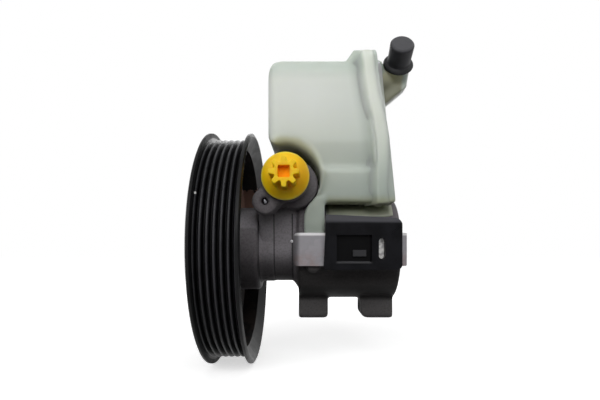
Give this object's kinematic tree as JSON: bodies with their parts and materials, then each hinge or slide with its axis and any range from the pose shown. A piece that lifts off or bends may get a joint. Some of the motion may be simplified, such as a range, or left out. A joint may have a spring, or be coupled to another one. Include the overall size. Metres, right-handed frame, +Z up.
{
  "type": "power steering pump",
  "caption": "Belt-driven hydraulic vane pump with a grooved pulley, a cast housing with mounting lugs, a flow valve and a strapped-on milky oil reservoir.",
  "frame": {"origin": "on the shaft axis, in the middle plane of the belt grooves", "axes": "+X along the shaft from the pulley to the rear of the pump, +Y away from the outlet side, +Z up to the reservoir"},
  "size_m": [0.1236, 0.143, 0.1947],
  "materials": {
    "black_paint": "satin black paint",
    "plain_steel": "ground steel",
    "zinc_steel": "zinc plated",
    "cast_aluminium": "grey die casting",
    "bronze": "plain",
    "black_rubber": "matt",
    "milky_plastic": "milky, lets light through",
    "yellow_plastic": "moulded",
    "black_plastic": "moulded, fine grain"
  },
  "bodies": {
    "pump": {"bearing_outer_race": "plain_steel", "bearing_retaining_ring": "plain_steel", "shaft_seal": "black_rubber", "front_bush": "bronze", "pump_housing": "cast_aluminium", "passage_ball": "plain_steel", "front_plate": "plain_steel", "cam_ring": "plain_steel", "rear_plate": "plain_steel", "rear_bush": "bronze", "dowel_pins": "plain_steel", "disc_spring": "plain_steel", "end_cover": "cast_aluminium", "cover_seal": "black_rubber", "cover_wire_ring": "plain_steel", "spool_spring": "zinc_steel", "valve_end_plug": "zinc_steel", "valve_plug_seal": "black_rubber", "outlet_union": "plain_steel", "union_seal": "black_rubber", "reservoir_front": "milky_plastic", "reservoir_rear": "milky_plastic", "spigot_seal": "black_rubber", "retaining_strap": "zinc_steel", "strap_clip": "black_plastic"},
    "pulley_set": {"pulley": "black_paint", "pulley_hub": "plain_steel", "pulley_bolts": "zinc_steel", "drive_shaft": "plain_steel", "bearing_inner_race": "plain_steel", "rotor": "plain_steel", "rotor_snap_ring": "plain_steel", "vane_1": "zinc_steel", "vane_2": "zinc_steel", "vane_3": "zinc_steel", "vane_4": "zinc_steel", "vane_5": "zinc_steel", "vane_6": "zinc_steel", "vane_7": "zinc_steel", "vane_8": "zinc_steel", "vane_9": "zinc_steel", "vane_10": "zinc_steel"},
    "ball_set": {"bearing_balls": "zinc_steel", "bearing_cage": "bronze"},
    "spool": {"flow_spool": "plain_steel"},
    "plug": {"transport_plug": "yellow_plastic"},
    "cap": {"transport_cap": "black_rubber"}
  },
  "joints": [
    {"name": "pulley_spin", "type": "hinge", "parent": "pump", "child": "pulley_set", "pos_m": [0, 0, 0], "axis": [1, 0, 0], "continuous": true},
    {"name": "cage_spin", "type": "hinge", "parent": "pump", "child": "ball_set", "pos_m": [0, 0, 0], "axis": [1, 0, 0], "continuous": true},
    {"name": "spool_slide", "type": "slide", "parent": "pump", "child": "spool", "axis": [0, 1, 0], "range_m": [0, 0.005], "stiffness_N_per_m": 5000, "springref_m": -0.004, "deforming": ["spool_spring"]},
    {"name": "plug_pull", "type": "slide", "parent": "pump", "child": "plug", "axis": [0, -1, 0], "range_m": [0, 0.02]},
    {"name": "cap_pull", "type": "slide", "parent": "pump", "child": "cap", "axis": [0, -0.891, 0.454], "range_m": [0, 0.02]}
  ],
  "couplings": [
    {"joint": "cage_spin", "follows": "pulley_spin", "ratio": 0.38421}
  ]
}
